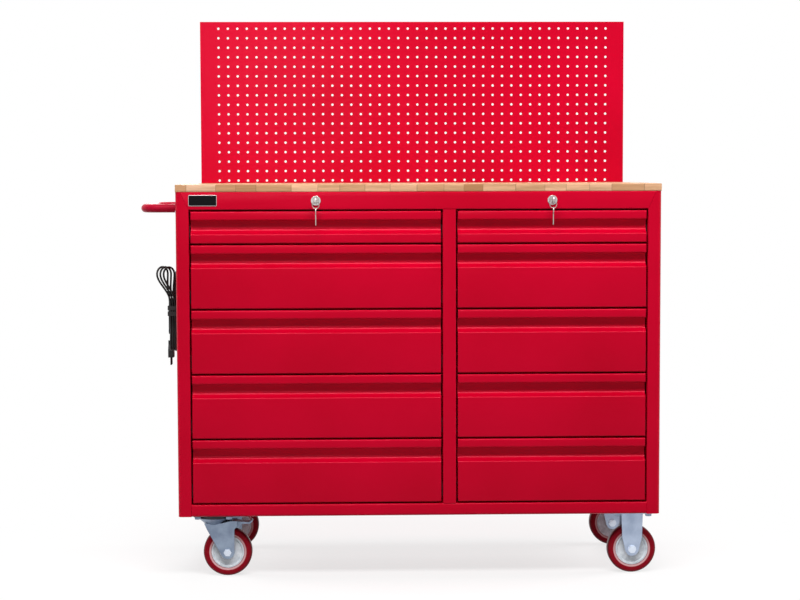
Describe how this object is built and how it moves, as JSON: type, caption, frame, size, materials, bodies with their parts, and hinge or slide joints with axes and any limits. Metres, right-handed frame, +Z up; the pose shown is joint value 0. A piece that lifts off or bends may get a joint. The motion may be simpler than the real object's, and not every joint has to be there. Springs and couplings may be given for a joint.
{
  "type": "rolling tool cabinet",
  "caption": "Wide rolling tool cabinet with two columns of drawers, wooden worktop, perforated back panel, side push handle, key locks and casters.",
  "frame": {"origin": "on the floor, below the middle of the outline without the cord", "axes": "+X to the right seen from the front, +Y to the back, +Z up; drawers open toward -Y"},
  "size_m": [1.293, 0.537, 1.4134],
  "materials": {
    "red_paint": "satin powder coat",
    "wood": "oiled finger-jointed board",
    "zinc": "bright zinc plate",
    "black_plastic": "moulded",
    "cord_sheath": "smooth sheath",
    "chrome": "plated",
    "nickel": "nickel plated",
    "hub_metal": "silver painted casting",
    "tread": "cast polyurethane"
  },
  "bodies": {
    "cabinet": {"left_side_panel": "red_paint", "right_side_panel": "red_paint", "back_panel": "red_paint", "base_pan": "red_paint", "center_divider": "red_paint", "top_rail": "red_paint", "worktop": "wood", "perforated_panel": "red_paint", "panel_posts": "red_paint", "push_handle": "red_paint", "cabinet_runners": "zinc", "outlet_box": "black_plastic", "cord_gland": "black_plastic", "power_cord": "cord_sheath", "cord_hank": "cord_sheath", "cord_tie": "black_plastic", "plug": "black_plastic", "rigid_caster_forks": "zinc", "swivel_caster_plates": "zinc", "lock_housings": "chrome"},
    "left_drawer_1": {"left_drawer_1_front": "red_paint", "left_drawer_1_box": "red_paint"},
    "left_drawer_2": {"left_drawer_2_front": "red_paint", "left_drawer_2_box": "red_paint"},
    "left_drawer_3": {"left_drawer_3_front": "red_paint", "left_drawer_3_box": "red_paint"},
    "left_drawer_4": {"left_drawer_4_front": "red_paint", "left_drawer_4_box": "red_paint"},
    "left_drawer_5": {"left_drawer_5_front": "red_paint", "left_drawer_5_box": "red_paint"},
    "left_lock": {"left_lock": "nickel"},
    "left_spare_key": {"left_spare_key": "nickel"},
    "left_lock_bar": {"left_lock_bar": "zinc"},
    "right_drawer_1": {"right_drawer_1_front": "red_paint", "right_drawer_1_box": "red_paint"},
    "right_drawer_2": {"right_drawer_2_front": "red_paint", "right_drawer_2_box": "red_paint"},
    "right_drawer_3": {"right_drawer_3_front": "red_paint", "right_drawer_3_box": "red_paint"},
    "right_drawer_4": {"right_drawer_4_front": "red_paint", "right_drawer_4_box": "red_paint"},
    "right_drawer_5": {"right_drawer_5_front": "red_paint", "right_drawer_5_box": "red_paint"},
    "right_lock": {"right_lock": "nickel"},
    "right_spare_key": {"right_spare_key": "nickel"},
    "right_lock_bar": {"right_lock_bar": "zinc"},
    "front_swivel": {"front_swivel_fork": "zinc", "front_swivel_axle": "zinc"},
    "front_brake": {"front_brake_pedal": "zinc"},
    "front_left_wheel": {"front_left_hub": "hub_metal", "front_left_tyre": "tread"},
    "front_right_wheel": {"front_right_hub": "hub_metal", "front_right_tyre": "tread"},
    "rear_swivel": {"rear_swivel_fork": "zinc", "rear_swivel_axle": "zinc"},
    "rear_brake": {"rear_brake_pedal": "zinc"},
    "rear_left_wheel": {"rear_left_hub": "hub_metal", "rear_left_tyre": "tread"},
    "rear_right_wheel": {"rear_right_hub": "hub_metal", "rear_right_tyre": "tread"}
  },
  "joints": [
    {"name": "left_drawer_1_slide", "type": "slide", "parent": "cabinet", "child": "left_drawer_1", "axis": [0, -1, 0], "range_m": [0, 0.3]},
    {"name": "left_drawer_2_slide", "type": "slide", "parent": "cabinet", "child": "left_drawer_2", "axis": [0, -1, 0], "range_m": [0, 0.3]},
    {"name": "left_drawer_3_slide", "type": "slide", "parent": "cabinet", "child": "left_drawer_3", "axis": [0, -1, 0], "range_m": [0, 0.3]},
    {"name": "left_drawer_4_slide", "type": "slide", "parent": "cabinet", "child": "left_drawer_4", "axis": [0, -1, 0], "range_m": [0, 0.3]},
    {"name": "left_drawer_5_slide", "type": "slide", "parent": "cabinet", "child": "left_drawer_5", "axis": [0, -1, 0], "range_m": [0, 0.3]},
    {"name": "left_lock_turn", "type": "hinge", "parent": "cabinet", "child": "left_lock", "pos_m": [-0.208, -0.2365, 0.942], "axis": [0, -1, 0], "range_deg": [0, 90]},
    {"name": "left_spare_key_swing", "type": "hinge", "parent": "left_lock", "child": "left_spare_key", "pos_m": [-0.208, -0.2575, 0.942], "axis": [-1, 0, 0], "range_deg": [-10, 80]},
    {"name": "left_lock_bar_lift", "type": "slide", "parent": "cabinet", "child": "left_lock_bar", "axis": [0, 0, 1], "range_m": [0, 0.01]},
    {"name": "right_drawer_1_slide", "type": "slide", "parent": "cabinet", "child": "right_drawer_1", "axis": [0, -1, 0], "range_m": [0, 0.3]},
    {"name": "right_drawer_2_slide", "type": "slide", "parent": "cabinet", "child": "right_drawer_2", "axis": [0, -1, 0], "range_m": [0, 0.3]},
    {"name": "right_drawer_3_slide", "type": "slide", "parent": "cabinet", "child": "right_drawer_3", "axis": [0, -1, 0], "range_m": [0, 0.3]},
    {"name": "right_drawer_4_slide", "type": "slide", "parent": "cabinet", "child": "right_drawer_4", "axis": [0, -1, 0], "range_m": [0, 0.3]},
    {"name": "right_drawer_5_slide", "type": "slide", "parent": "cabinet", "child": "right_drawer_5", "axis": [0, -1, 0], "range_m": [0, 0.3]},
    {"name": "right_lock_turn", "type": "hinge", "parent": "cabinet", "child": "right_lock", "pos_m": [0.3755, -0.2365, 0.942], "axis": [0, -1, 0], "range_deg": [0, 90]},
    {"name": "right_spare_key_swing", "type": "hinge", "parent": "right_lock", "child": "right_spare_key", "pos_m": [0.3755, -0.2575, 0.942], "axis": [-1, 0, 0], "range_deg": [-10, 80]},
    {"name": "right_lock_bar_lift", "type": "slide", "parent": "cabinet", "child": "right_lock_bar", "axis": [0, 0, 1], "range_m": [0, 0.01]},
    {"name": "front_swivel_turn", "type": "hinge", "parent": "cabinet", "child": "front_swivel", "pos_m": [-0.4685, -0.1745, 0.14], "axis": [0, 0, 1], "continuous": true},
    {"name": "front_brake_press", "type": "hinge", "parent": "front_swivel", "child": "front_brake", "pos_m": [-0.4185, -0.1745, 0.1325], "axis": [0, 1, 0], "range_deg": [0, 14]},
    {"name": "front_left_wheel_spin", "type": "hinge", "parent": "front_swivel", "child": "front_left_wheel", "pos_m": [-0.4345, -0.1745, 0.061], "axis": [0, 1, 0], "continuous": true},
    {"name": "front_right_wheel_spin", "type": "hinge", "parent": "cabinet", "child": "front_right_wheel", "pos_m": [0.5835, -0.1745, 0.061], "axis": [0, 1, 0], "continuous": true},
    {"name": "rear_swivel_turn", "type": "hinge", "parent": "cabinet", "child": "rear_swivel", "pos_m": [-0.4685, 0.1815, 0.14], "axis": [0, 0, 1], "continuous": true},
    {"name": "rear_brake_press", "type": "hinge", "parent": "rear_swivel", "child": "rear_brake", "pos_m": [-0.4185, 0.1815, 0.1325], "axis": [0, 1, 0], "range_deg": [0, 14]},
    {"name": "rear_left_wheel_spin", "type": "hinge", "parent": "rear_swivel", "child": "rear_left_wheel", "pos_m": [-0.4345, 0.1815, 0.061], "axis": [0, 1, 0], "continuous": true},
    {"name": "rear_right_wheel_spin", "type": "hinge", "parent": "cabinet", "child": "rear_right_wheel", "pos_m": [0.5835, 0.1815, 0.061], "axis": [0, 1, 0], "continuous": true}
  ],
  "couplings": [
    {"joint": "left_lock_turn", "follows": "left_lock_bar_lift", "rad_per_m": 157.08},
    {"joint": "right_lock_turn", "follows": "right_lock_bar_lift", "rad_per_m": 157.08}
  ]
}
